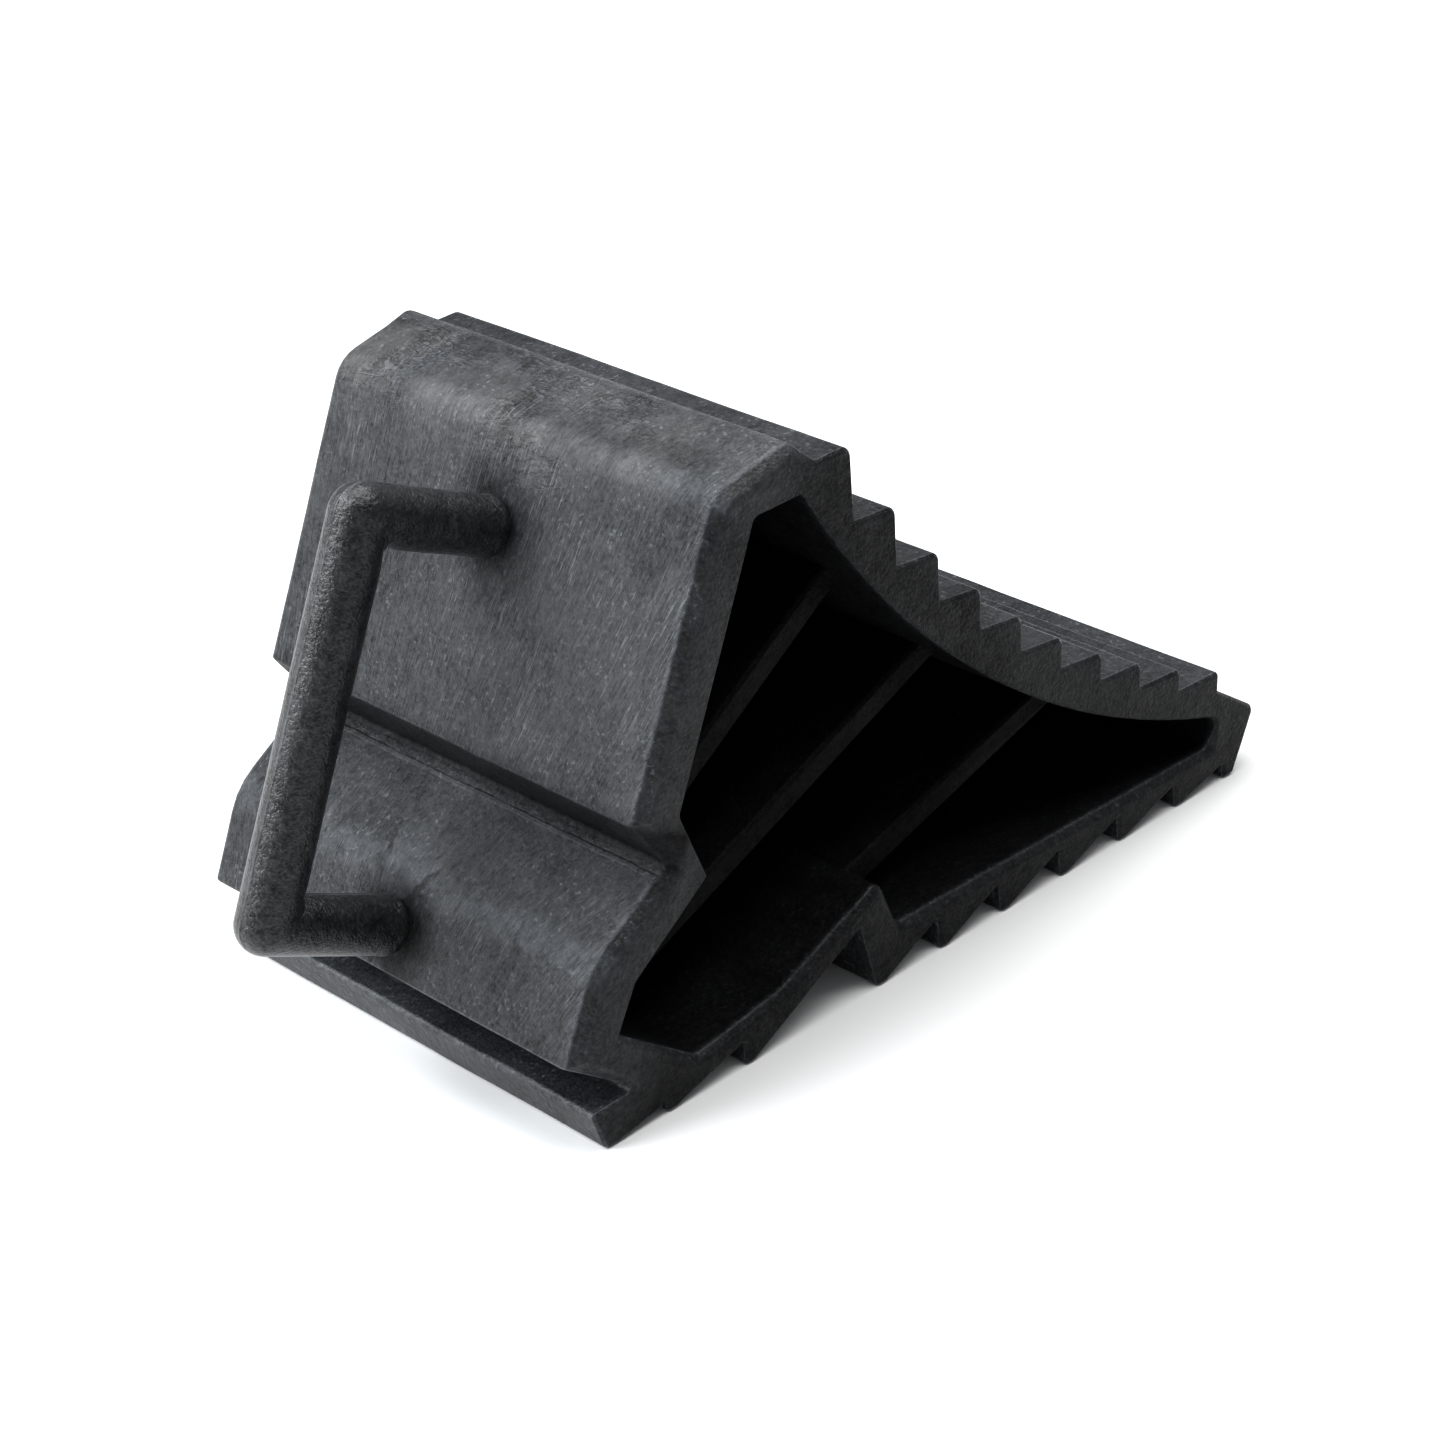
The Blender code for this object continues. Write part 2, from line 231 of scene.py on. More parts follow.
def run_steps(corners, index, spacing):
    """Segments of the straight run from a corner to the next one."""
    here = Vector(corners[index][:2])
    following = Vector(corners[(index + 1) % len(corners)][:2])
    return max(1, round((following - here).length / spacing))


def corner_arc(previous, here, following, radius, steps):
    before = (here - previous).normalized()
    after = (following - here).normalized()
    turn = math.atan2(before.cross(after), before.dot(after))
    side = Vector((-before.y, before.x)) * math.copysign(radius, turn)
    reach = radius * math.tan(abs(turn) / 2.0)
    centre = here - before * reach + side
    spoke = -side
    points = []
    for step in range(steps + 1):
        angle = turn * step / steps
        x = spoke.x * math.cos(angle) - spoke.y * math.sin(angle)
        z = spoke.x * math.sin(angle) + spoke.y * math.cos(angle)
        points.append(centre + Vector((x, z)))
    return points


def ring_of(corners, offset, spacing=POINT_SPACING):
    """Points and wear of a closed outline moved inwards by offset times each corner's own bevel width.

    Each corner is (x, z, radius, width). The number of points doesn't depend on the offset. Wear is 1 in the
    middle of a rounded corner that stands out, and 0 on straight runs and in hollow corners; besides rubbed
    rubber, it paints a highlight along these rounded edges.
    """
    count = len(corners)
    moved = []
    turns = []
    for index, (x, z, _, width) in enumerate(corners):
        before, after, turn = turn_at(corners, index)
        normal_in = Vector((-before.y, before.x))
        normal_out = Vector((-after.y, after.x))
        mitre = (normal_in + normal_out) / (1.0 + normal_in.dot(normal_out))
        moved.append(Vector((x, z)) + mitre * offset * width)
        turns.append(turn)
    arcs = []
    marks = []
    for index, (_, _, radius, width) in enumerate(corners):
        steps = arc_steps(radius, turns[index])
        if steps == 0:
            arcs.append([moved[index]])
            marks.append([0.0])
            continue
        now = max(radius - math.copysign(offset * width, turns[index]), LEAST_RADIUS)
        arcs.append(corner_arc(moved[index - 1], moved[index], moved[(index + 1) % count], now, steps))
        stands_out = turns[index] > 0.0
        marks.append([math.sin(math.pi * step / steps) if stands_out else 0.0 for step in range(steps + 1)])
    points = []
    wear_and_highlight = []
    for index in range(count):
        points += arcs[index]
        wear_and_highlight += marks[index]
        steps = run_steps(corners, index, spacing)
        for step in range(1, steps):
            points.append(arcs[index][-1].lerp(arcs[(index + 1) % count][0], step / steps))
            wear_and_highlight.append(0.0)
    return points, wear_and_highlight


def widths_along(corners):
    """Bevel width at each point of ring_of."""
    widths = []
    for index, (_, _, radius, width) in enumerate(corners):
        turn = turn_at(corners, index)[2]
        widths += [width] * (arc_steps(radius, turn) + 1)
        following = corners[(index + 1) % len(corners)][3]
        steps = run_steps(corners, index, POINT_SPACING)
        for step in range(1, steps):
            widths.append(width + (following - width) * step / steps)
    return widths


def tooth(face, height):
    """Top and foot of a tooth's steep face, and the end of its flat."""
    return [(face, height, ROUND["tooth_root"], EDGE), (face, 0.0, ROUND["tooth"], EDGE),
            (face + TOOTH_FLAT, 0.0, ROUND["tooth"], EDGE)]


def underside_corners():
    corners = [(0.0, 0.0, ROUND["heel"], EDGE), (HEEL_FLAT, 0.0, ROUND["tooth"], EDGE)]
    for face, height in HEEL_TEETH:
        corners += tooth(face, height)
    corners.append((*ARCH_TOP, ROUND["arch"], EDGE))
    corners += tooth(BIG_TOOTH, 0.0)[1:]
    for barb in range(1, BARBS + 1):
        corners += tooth(BIG_TOOTH + BARB_PITCH * barb, BARB_HEIGHT - BARB_FALL * (barb - 1))
    corners += tooth(TOE_REAR, TOE_HEIGHT)[:2]
    return corners


def tyre_corners():
    """Toe, then the steps up to the groove behind the crest."""
    corners = [(*TOE_FOOT, ROUND["toe_foot"], EDGE), (*TOE_CORNER, ROUND["toe"], EDGE)]
    for step in reversed(range(STEPS)):
        x = STEP_START + STEP_PITCH * step + STEP_GROWTH * step ** 2
        root_x = x - STEP_UNDERCUT
        corners.append((root_x, arc_height(ROOT_ARC, root_x), ROUND["step_root"], EDGE))
        corners.append((x, arc_height(CREST_ARC, x), STEP_ROUND - STEP_ROUND_FALL * step, EDGE))
    corners.append((GROOVE_X, corners[-1][1], ROUND["groove"], EDGE))
    return corners


def back_corners():
    """Crest, brow, both panels with the ledge between them, notch and heel."""
    crest = Vector(CREST)
    brow = Vector(on_panel(PANEL_LENGTH, 0.0))
    start = crest.lerp(brow, BROW_START)
    return [(*CREST, ROUND["crest"], CREST_BEVEL),
            (start.x, start.y, 0.0, CHAMFER),
            (brow.x, brow.y, ROUND["brow"], CHAMFER),
            (*on_panel(0.0, 0.0), ROUND["panel_foot"], CHAMFER),
            (*on_panel(*VALLEY), ROUND["valley"], CHAMFER),
            (*on_panel(*LOWER_TOP), ROUND["lower_top"], CHAMFER),
            (*on_panel(*LOWER_BOTTOM), ROUND["lower_bottom"], CHAMFER),
            (*NOTCH_ROOT, ROUND["notch"], EDGE),
            (*HEEL_TOP, ROUND["heel_top"], EDGE)]


def body_corners():
    """Counter-clockwise from the heel."""
    return underside_corners() + tyre_corners() + back_corners()


def cavity_corners():
    """Counter-clockwise along the floor to the toe, up the tyre wall and down the back."""
    top_x, top_z = on_panel(CAVITY_TOP, -WALL_BACK)
    (centre_x, centre_z), radius = CAVITY_ARC
    arc_top_x = centre_x - math.sqrt(radius ** 2 - (centre_z - top_z) ** 2)
    corners = [(x, z, CAVITY_ROUND["floor"], LIP) for x, z in CAVITY_FLOOR]
    toe_z = arc_height(CAVITY_ARC, CAVITY_TOE_X)
    corners.append((CAVITY_TOE_X, toe_z, CAVITY_ROUND["toe"], MOUTH))
    for index in range(1, CAVITY_WALL_STEPS):
        x = CAVITY_TOE_X + (arc_top_x - CAVITY_TOE_X) * index / CAVITY_WALL_STEPS
        corners.append((x, arc_height(CAVITY_ARC, x), 0.0, MOUTH))
    corners.append((arc_top_x, top_z, CAVITY_ROUND["wall_top"], MOUTH))
    corners.append((top_x, top_z, CAVITY_ROUND["top"], MOUTH))
    corners.append((*on_panel(CAVITY_FOOT, -WALL_BACK), CAVITY_ROUND["top"], MOUTH))
    corners.append((*on_panel(*CAVITY_KINK), CAVITY_ROUND["kink"], MOUTH))
    corners.append((*on_panel(*CAVITY_LOWER_TOP), CAVITY_ROUND["lower"], MOUTH))
    corners.append((*on_panel(*CAVITY_LOWER_BOTTOM), CAVITY_ROUND["lower"], LIP))
    return corners


def bevel_profile():
    """(share of the width moved in, share of the width below the end face) from side to end."""
    reach = BEVEL_ROUND * math.tan(math.radians(22.5))
    bends = (((0.0, 1.0), (0.0, 1.0), (0.7071, -0.7071)),
             ((1.0, 0.0), (-0.7071, 0.7071), (1.0, 0.0)))
    points = []
    for middle, back, onward in bends:
        corner = Vector(middle)
        start = corner + Vector(back) * reach
        end = corner + Vector(onward) * reach
        for step in range(BEVEL_POINTS):
            share = step / (BEVEL_POINTS - 1)
            bend = start.lerp(corner, share).lerp(corner.lerp(end, share), share)
            points.append((bend.x, bend.y))
    return points


def bevel_wear_and_highlight(order):
    """Wear and painted highlight of a bevel's ring: most in the middle of each of its two rounded bends."""
    return math.sin(math.pi * (order % BEVEL_POINTS) / (BEVEL_POINTS - 1))


PROFILE = bevel_profile()

# Millimetres from the heel's X to the frame's X, so that the toe ends where the CAD body's does
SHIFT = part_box("chock_body")[1].x / MM - max(point.x for point in ring_of(body_corners(), 0.0)[0])


# ------------------------------------------------------------------ meshes

def bridge(mesh, loops):
    """Faces between each closed loop of vertices and the next one."""
    for first, second in zip(loops, loops[1:]):
        count = len(first)
        for index in range(count):
            after = (index + 1) % count
            mesh.faces.new((first[index], first[after], second[after], second[index]))


class Shell:
    """Mesh under construction, with a wear value (which also paints a highlight on rounded edges) and an
    inside value (which paints shade in the cavities) kept for each vertex.
    """

    def __init__(self):
        self.mesh = bmesh.new()
        self.wear_and_highlight = self.mesh.verts.layers.float.new("wear_and_highlight")
        self.inside = self.mesh.verts.layers.float.new("inside")

    def ring(self, points, heights, wear_and_highlight, inside):
        """New loop of vertices; heights and the wear with its painted highlight are one value or a list with
        a value for each point.
        """
        loop = []
        for index, point in enumerate(points):
            height = heights[index] if isinstance(heights, list) else heights
            vert = self.mesh.verts.new((point.x, height, point.y))
            vert[self.wear_and_highlight] = wear_and_highlight[index] if isinstance(wear_and_highlight, list) else wear_and_highlight
            vert[self.inside] = inside
            loop.append(vert)
        return loop

    def cap(self, loops):
        flat = [vert for loop in loops for vert in loop]
        outlines = [[Vector((vert.co.x, vert.co.z, 0.0)) for vert in loop] for loop in loops]
        for triangle in tessellate_polygon(outlines):
            self.mesh.faces.new([flat[index] for index in triangle])

    def marks(self):
        return [(vert.co.copy(), vert[self.wear_and_highlight], vert[self.inside]) for vert in self.mesh.verts]


def circle(centre, normal, radius):
    """Points round a centre in the plane of Y and the given direction."""
    points = []
    for index in range(SIDES):
        angle = math.tau * index / SIDES
        sideways = Vector((0.0, math.sin(angle) * radius, 0.0))
        points.append(centre + normal * (math.cos(angle) * radius) + sideways)
    return points


def loft(rings):
    mesh = bmesh.new()
    loops = [[mesh.verts.new(point) for point in points] for points in rings]
    bridge(mesh, loops)
    mesh.faces.new(loops[0][::-1])
    mesh.faces.new(loops[-1])
    return mesh


def post(along, out_low, out_high, radius):
    """Cylinder square to the back wall."""
    ends = (out_low, out_high)
    return loft([circle(in_space(on_panel(along, out)), in_space(UPWARD), radius) for out in ends])


def in_frame(point):
    """Point of the profile's millimetres in the CAD frame's metres."""
    return Vector((point.x + SHIFT, point.y, point.z)) * MM


def link(name, data):
    item = bpy.data.objects.new(name, data)
    bpy.context.scene.collection.objects.link(item)
    return item


def keep(mesh, name):
    """Object of a bmesh in profile millimetres, moved to the CAD frame in metres."""
    bmesh.ops.recalc_face_normals(mesh, faces=mesh.faces)
    for vert in mesh.verts:
        vert.co = in_frame(vert.co)
    data = bpy.data.meshes.new(name)
    mesh.to_mesh(data)
    mesh.free()
    return link(name, data)


def combine(item, tool, operation):
    change = item.modifiers.new(tool.name, "BOOLEAN")
    change.solver = "EXACT"
    change.operation = operation
    change.object = tool


def settle(item, tools):
    """Replace an object's mesh by its evaluated one and remove the tools."""
    graph = bpy.context.evaluated_depsgraph_get()
    data = bpy.data.meshes.new_from_object(item.evaluated_get(graph), depsgraph=graph)
    item.modifiers.clear()
    item.data = data
    for tool in tools:
        bpy.data.objects.remove(tool, do_unlink=True)


def soften(item, node, amount, reach):
    """Slight unevenness of moulded rubber, long and short waves, kept inside the CAD node's box."""
    low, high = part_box(node)
    short_reach = reach * SHORT_REACH
    for vert in item.data.vertices:
        wander = noise.noise_vector(vert.co / reach) * amount
        wander += noise.noise_vector(vert.co / short_reach + SHORT_START) * amount * SHORT_HEIGHT
        co = vert.co + wander
        vert.co = Vector([min(max(co[axis], low[axis]), high[axis]) for axis in range(3)])


def finish_normals(item, angle):
    """Smooth shading with edges above the given angle in degrees kept sharp."""
    mesh = bmesh.new()
    mesh.from_mesh(item.data)
    for face in mesh.faces:
        face.smooth = True
    for edge in mesh.edges:
        edge.smooth = edge.calc_face_angle(0.0) < math.radians(angle)
    mesh.to_mesh(item.data)
    mesh.free()
    change = item.modifiers.new("even_normals", "WEIGHTED_NORMAL")
    change.keep_sharp = True
    change.weight = 80


# ------------------------------------------------------------------ body

def add_skin(shell):
    """Outer skin with its bevels; returns the last ring on each side, where the end face starts."""
    outer = body_corners()
    widths = widths_along(outer)
    base, base_wear_and_highlight = ring_of(outer, 0.0)
    bevels = {}
    for side in (-1.0, 1.0):
        bevels[side] = []
        for order, (move, depth) in enumerate(PROFILE):
            points, _ = ring_of(outer, move)
            heights = [side * (HALF - width * depth) for width in widths]
            wear_and_highlight = [max(bevel_wear_and_highlight(order), value) for value in base_wear_and_highlight]
            bevels[side].append(shell.ring(points, heights, wear_and_highlight, 0.0))
    rows = []
    for row in range(1, SKIN_ROWS):
        height = -SKIN_HALF + 2.0 * SKIN_HALF * row / SKIN_ROWS
        rows.append(shell.ring(base, height, base_wear_and_highlight, 0.0))
    bridge(shell.mesh, bevels[-1.0][::-1] + rows + bevels[1.0])
    return {side: rings[-1] for side, rings in bevels.items()}


def add_cavity(shell, side, end_ring):
    """Cavity of one side, from its mouth in the end face to the web, and the end face itself."""
    inner = cavity_corners()
    widths = widths_along(inner)
    rings = []
    for order, (move, depth) in enumerate(PROFILE[::-1]):
        points, _ = ring_of(inner, -move)
        heights = [side * (HALF - width * depth) for width in widths]
        inside = MOUTH_INSIDE * order / (len(PROFILE) - 1)
        rings.append(shell.ring(points, heights, MOUTH_WEAR_AND_HIGHLIGHT * bevel_wear_and_highlight(order), inside))
    plain, _ = ring_of(inner, 0.0)
    for height in CAVITY_ROWS:
        rings.append(shell.ring(plain, side * height, 0.0, 1.0))
    at_web = [(x, z, radius, WEB_FILLET) for x, z, radius, _ in inner]
    for move, depth in PROFILE:
        points, _ = ring_of(at_web, move)
        rings.append(shell.ring(points, side * (WEB_HALF + WEB_FILLET * depth), 0.0, 1.0))
    bridge(shell.mesh, rings)
    shell.cap([end_ring, rings[0]])
    shell.cap([rings[-1]])


def body_shell():
    shell = Shell()
    for side, end_ring in add_skin(shell).items():
        add_cavity(shell, side, end_ring)
    return shell


def inside_outline(point, outline):
    hit = False
    for first, second in zip(outline, outline[1:] + outline[:1]):
        if (first.y > point.y) != (second.y > point.y):
            cross = first.x + (second.x - first.x) * (point.y - first.y) / (second.y - first.y)
            if point.x < cross:
                hit = not hit
    return hit


def rib_shell(rib, outline):
    """Rib between the two walls that its centre line meets, on both sides of the web."""
    x, z, slope = rib
    centre = Vector((x, z))
    run = Vector((1.0, slope)).normalized()
    rise = Vector((-run.y, run.x)) * RIB_HALF
    ends = []
    for sign in (-1.0, 1.0):
        reach = 0.0
        while inside_outline(centre + run * sign * reach, outline) and reach < RIB_REACH:
            reach += RIB_PROBE
        ends.append(centre + run * sign * (reach + RIB_SINK))
    low, high = ends
    places = (low - rise, high - rise, high + rise, low + rise)
    corners = [(*place, RIB_ROUND, EDGE) for place in places]
    shell = Shell()
    rings = []
    for side in (-1.0, 1.0):
        row = []
        for order, (move, depth) in enumerate(PROFILE):
            points, _ = ring_of(corners, move, RIB_REACH)
            wear_and_highlight = RIB_WEAR_AND_HIGHLIGHT * math.sin(math.pi * order / (len(PROFILE) - 1))
            row.append(shell.ring(points, side * (RIB_FACE - EDGE * depth), wear_and_highlight, RIB_INSIDE))
        rings += row[::-1] if side < 0.0 else row
    bridge(shell.mesh, rings)
    shell.cap([rings[0]])
    shell.cap([rings[-1]])
    return shell


def mark_skin(body, source):
    """Give the joined body the wear (with its painted edge highlight) and inside (painted cavity shade)
    values of its shells; what the tools made is inside.
    """
    finder = KDTree(len(source))
    for index, (point, _, _) in enumerate(source):
        finder.insert(in_frame(point), index)
    finder.balance()
    for name in ("wear_and_highlight", "inside"):
        if name in body.data.attributes:
            body.data.attributes.remove(body.data.attributes[name])
    wear_and_highlight = body.data.attributes.new("wear_and_highlight", "FLOAT", "POINT")
    inside = body.data.attributes.new("inside", "FLOAT", "POINT")
    for vert in body.data.vertices:
        _, index, distance = finder.find(vert.co)
        if distance < SAME_PLACE:
            wear_and_highlight.data[vert.index].value = source[index][1]
            inside.data[vert.index].value = source[index][2]
        else:
            inside.data[vert.index].value = 1.0


def make_body():
    shell = body_shell()
    source = shell.marks()
    body = keep(shell.mesh, "moulded_body")
    outline, _ = ring_of(cavity_corners(), 0.0)
    tools = []
    for index, rib in enumerate(RIBS):
        made = rib_shell(rib, outline)
        source += made.marks()
        tools.append(keep(made.mesh, f"rib_{index + 1}"))
        combine(body, tools[-1], "UNION")
    for foot, along, base in FEET:
        for kind, low, high, radius, operation in SOCKETS:
            tools.append(keep(post(along, base + low, base + high, radius), f"{foot}_{kind}"))
            combine(body, tools[-1], operation)
    settle(body, tools)
    mark_skin(body, source)
    soften(body, "chock_body", *BODY_WANDER)
    finish_normals(body, BODY_SHARP)
    return body


# ------------------------------------------------------------------ handle

def leg_heights(length):
    """(height above the wall, radius) of a leg's rings, from its foot to just below the bend."""
    foot_end = FOOT_BEAD[-1][0]
    run = length - HANDLE_R - BEND_GAP - foot_end
    straight = [(foot_end + run * step / LEG_STEPS, HANDLE_R) for step in range(1, LEG_STEPS)]
    return [*FOOT_BEAD, *straight]


def bend_rings(centre, before, after):
    """Rings of a bend that is round outside and nearly sharp inside."""
    mitre = before + after
    inward = mitre.normalized()
    along = (before - after).normalized()
    tight = circle(centre, mitre, HANDLE_R)
    quarter = SIDES // 4
    rings = []
    for step in range(BEND_STEPS + 1):
        angle = math.pi / 2.0 * step / BEND_STEPS
        points = circle(centre, before * math.cos(angle) + after * math.sin(angle), HANDLE_R)
        past_middle = step / BEND_STEPS - 0.5
        slide = past_middle * BEND_SLIDE
        tuck = inward * (0.5 - abs(past_middle)) * -BEND_TUCK
        for index in range(quarter, SIDES - quarter + 1):
            share = math.sin(math.pi * (index - quarter) / (SIDES - 2 * quarter))
            points[index] = tight[index] - along * slide * share + tuck * share
        rings.append(points)
    return rings


def handle_rings():
    up = in_space(UPWARD)
    out = in_space(OUTWARD)
    rings = []
    for height, radius in leg_heights(HANDLE_OUT):
        rings.append(circle(in_space(on_panel(LEG_UPPER, height)), up, radius))
    rings += bend_rings(in_space(on_panel(LEG_UPPER, HANDLE_OUT)), up, out)
    for step in range(1, GRIP_STEPS):
        along = LEG_UPPER + (LEG_LOWER - LEG_UPPER) * step / GRIP_STEPS
        if min(abs(along - LEG_UPPER), abs(along - LEG_LOWER)) > HANDLE_R + BEND_GAP:
            rings.append(circle(in_space(on_panel(along, HANDLE_OUT)), out, HANDLE_R))
    rings += bend_rings(in_space(on_panel(LEG_LOWER, HANDLE_OUT)), out, -up)
    for height, radius in reversed(leg_heights(HANDLE_OUT - LOWER_OUT)):
        rings.append(circle(in_space(on_panel(LEG_LOWER, LOWER_OUT + height)), -up, radius))
    return rings


def make_handle():
    grip = keep(loft(handle_rings()), "handle_grip")
    tools = []
    for foot, along, base in FEET:
        bore = post(along, base - BORE_START, base + HANDLE_OUT - BORE_END, BORE)
        tools.append(keep(bore, f"{foot}_core_bore"))
        combine(grip, tools[-1], "DIFFERENCE")
    settle(grip, tools)
    soften(grip, "handle_sleeve", *HANDLE_WANDER)
    finish_normals(grip, HANDLE_SHARP)
    return grip


# ------------------------------------------------------------------ materials

BLACK_RUBBER = (0.0015, 0.0015, 0.0016)
COLD_DUST = (0.222, 0.243, 0.272)
WARM_DUST = (0.262, 0.262, 0.266)
HANDLE_DUST = (0.240, 0.248, 0.265)
LEAST_TONE = 0.008
LEAST_GLOSS = 0.02

# Flow lines of the back wall: lean, how far below the upper panel's foot they meet, and their fineness
FLOW_LEAN = 0.14
FLOW_ORIGIN = 0.26
FLOW_SCALE = (260.0, 42.0, 40.0)

# Pale smear over the lower leg: centre along and across, and one over its half height and half width
SMEAR_CENTRE = (-0.026, 0.001)
SMEAR_SCALE = (58.0, 105.0)

# Mould line on the lower panel: how far it lies below the upper panel's foot
MOULD_LINE = 0.0122


class Net:
    """Short way to write a node material. Masks and noises are values from 0 to 1."""

    def __init__(self, name):
        self.material = bpy.data.materials.new(name)
        self.material.use_nodes = True
        self.tree = self.material.node_tree
        self.shader = self.tree.nodes["Principled BSDF"]

    def feed(self, socket, value):
        """Link a node's output to a socket, or set a plain value on it."""
        if isinstance(value, bpy.types.NodeSocket):
            self.tree.links.new(value, socket)
        elif socket.type == "RGBA":
            socket.default_value = (*value, 1.0)
        else:
            socket.default_value = value

    def put(self, kind, inputs, output=0, **settings):
        node = self.tree.nodes.new(kind)
        for key, value in settings.items():
            setattr(node, key, value)
        for key, value in inputs.items():
            self.feed(node.inputs[key], value)
        return node.outputs[output]

    def place(self):
        return self.put("ShaderNodeTexCoord", {}, "Object")

    def attribute(self, name):
        return self.put("ShaderNodeAttribute", {}, "Fac", attribute_name=name)

    def stretch(self, vector, turn, scale):
        return self.put("ShaderNodeMapping", {"Vector": vector, "Rotation": turn, "Scale": scale})

    def jitter(self, vector, place, scale, size):
        """The vector moved by noise read at the place."""
        colour = self.put("ShaderNodeTexNoise", {"Vector": place, "Scale": scale, "Detail": 2.0}, "Color")
        step = self.put("ShaderNodeVectorMath", {0: colour, 1: (size, size, size)}, operation="MULTIPLY")
        return self.put("ShaderNodeVectorMath", {0: vector, 1: step}, operation="ADD")

    def cloud(self, vector, scale, detail=4.0, rough=0.55, twist=0.0):
        return self.put("ShaderNodeTexNoise", {"Vector": vector, "Scale": scale, "Detail": detail,
                                               "Roughness": rough, "Distortion": twist})

    def cells(self, vector, scale):
        return self.put("ShaderNodeTexVoronoi", {"Vector": vector, "Scale": scale}, "Distance")

    def dot(self, vector, direction):
        return self.put("ShaderNodeVectorMath", {0: vector, 1: direction}, "Value", operation="DOT_PRODUCT")

    def maths(self, operation, first, *others):
        """The operation on one value, or on the first and each other value in turn."""
        if not others:
            return self.put("ShaderNodeMath", {0: first}, operation=operation)
        for other in others:
            first = self.put("ShaderNodeMath", {0: first, 1: other}, operation=operation)
        return first

    def sum(self, *values):
        return self.maths("ADD", *values)

    def times(self, *values):
        return self.maths("MULTIPLY", *values)

    def most(self, *values):
        return self.maths("MAXIMUM", *values)

    def less(self, first, second):
        return self.maths("SUBTRACT", first, second)

    def span(self, value, low, high, start=0.0, end=1.0):
        """From start to end while the value goes from low to high; low may be the larger one."""
        return self.put("ShaderNodeMapRange", {"Value": value, "From Min": low, "From Max": high,
                                               "To Min": start, "To Max": end},
                        interpolation_type="LINEAR")

    def band(self, value, rise_from, rise_to, fall_from, fall_to):
        """1 between two values, with a soft start and end."""
        return self.times(self.span(value, rise_from, rise_to), self.span(value, fall_to, fall_from))

    def fade(self, value, mask, share):
        """The value with the given share of it taken away where the mask is 1."""
        return self.times(value, self.less(1.0, self.times(mask, share)))

    def sideways(self):
        """1 where the surface faces either end of the chock, 0 where it runs across."""
        normal = self.put("ShaderNodeNewGeometry", {}, "Normal")
        return self.maths("ABSOLUTE", self.dot(normal, ACROSS))

    def mix(self, share, first, second):
        node = self.tree.nodes.new("ShaderNodeMix")
        node.data_type = "RGBA"
        for key, value in (("Factor", share), ("A", first), ("B", second)):
            self.feed(next(s for s in node.inputs if s.name == key and s.enabled), value)
        return next(s for s in node.outputs if s.enabled)

    def bump(self, height, distance, strength=1.0, normal=None):
        inputs = {"Height": height, "Distance": distance, "Strength": strength}
        if normal is not None:
            inputs["Normal"] = normal
        return self.put("ShaderNodeBump", inputs, "Normal")

    def out(self, **sockets):
        for key, value in sockets.items():
            self.feed(self.shader.inputs[key.replace("_", " ")], value)


def wall_places(net, place):
    """Metres along the upper panel from its foot, and out from it."""
    foot = in_frame(in_space(PANEL_FOOT))
    up = in_space(UPWARD)
    out = in_space(OUTWARD)
    along = net.less(net.dot(place, tuple(up)), foot.dot(up))
    outward = net.less(net.dot(place, tuple(out)), foot.dot(out))
    return along, outward


def flow_marks(net, place, along, outward, across):
    """Combed texture and thin lines of the rubber's flow, which spread out upwards."""
    leaning = net.sum(across, net.times(along, FLOW_LEAN))
    spread = net.maths("DIVIDE", leaning, net.sum(along, FLOW_ORIGIN))
    flow = net.put("ShaderNodeCombineXYZ", {0: net.times(spread, FLOW_SCALE[0]),
                                            1: net.times(along, FLOW_SCALE[1]),
                                            2: net.times(outward, FLOW_SCALE[2])})
    wavy = net.jitter(flow, place, 28.0, 1.0)
    combed = net.cloud(wavy, 2.5, 5.0, 0.65)
    thin = net.span(net.cloud(wavy, 1.3, 6.0, 0.72), 0.56, 0.66)
    scratches = net.span(net.cloud(wavy, 3.6, 3.0, 0.6), 0.57, 0.66)
    where = net.span(net.cloud(place, 30.0, 3.0, 0.6), 0.47, 0.58)
    return combed, net.times(net.most(thin, scratches), where)


def brow_crinkles(net, place, brow, sideways):
    """Wrinkled skin in patches of the brow; its value is also put into the tone, as painted shade in the
    creases and painted light on the ridges.
    """
    crinkle = net.cloud(net.stretch(place, (0.0, 0.0, 0.35), (1.0, 0.42, 1.0)), 430.0, 2.0, 0.5, 1.6)
    patches = net.times(net.span(net.cloud(place, 30.0), 0.49, 0.58), net.span(sideways, 0.5, 0.2))
    return net.times(net.span(crinkle, 0.42, 0.60, -0.25, 0.8), net.times(brow, patches))


def pale_smear(net, place, along, outward, across, patch):
    """Ragged pale smear on the lower panel, and the broken dark rim round it."""
    high = net.times(net.less(along, SMEAR_CENTRE[0]), SMEAR_SCALE[0])
    wide = net.times(net.less(across, SMEAR_CENTRE[1]), SMEAR_SCALE[1])
    shape = net.sum(net.times(high, high), net.times(wide, wide))
    ragged = net.sum(shape, net.times(net.less(net.cloud(place, 95.0, 4.0), 0.5), 2.6))
    outside = net.span(outward, -0.006, 0.0)
    smear = net.times(net.span(ragged, 1.05, 0.90), outside)
    rim = net.times(net.band(ragged, 1.0, 1.1, 1.2, 1.7), net.span(patch, 0.42, 0.56), outside)
    return smear, rim


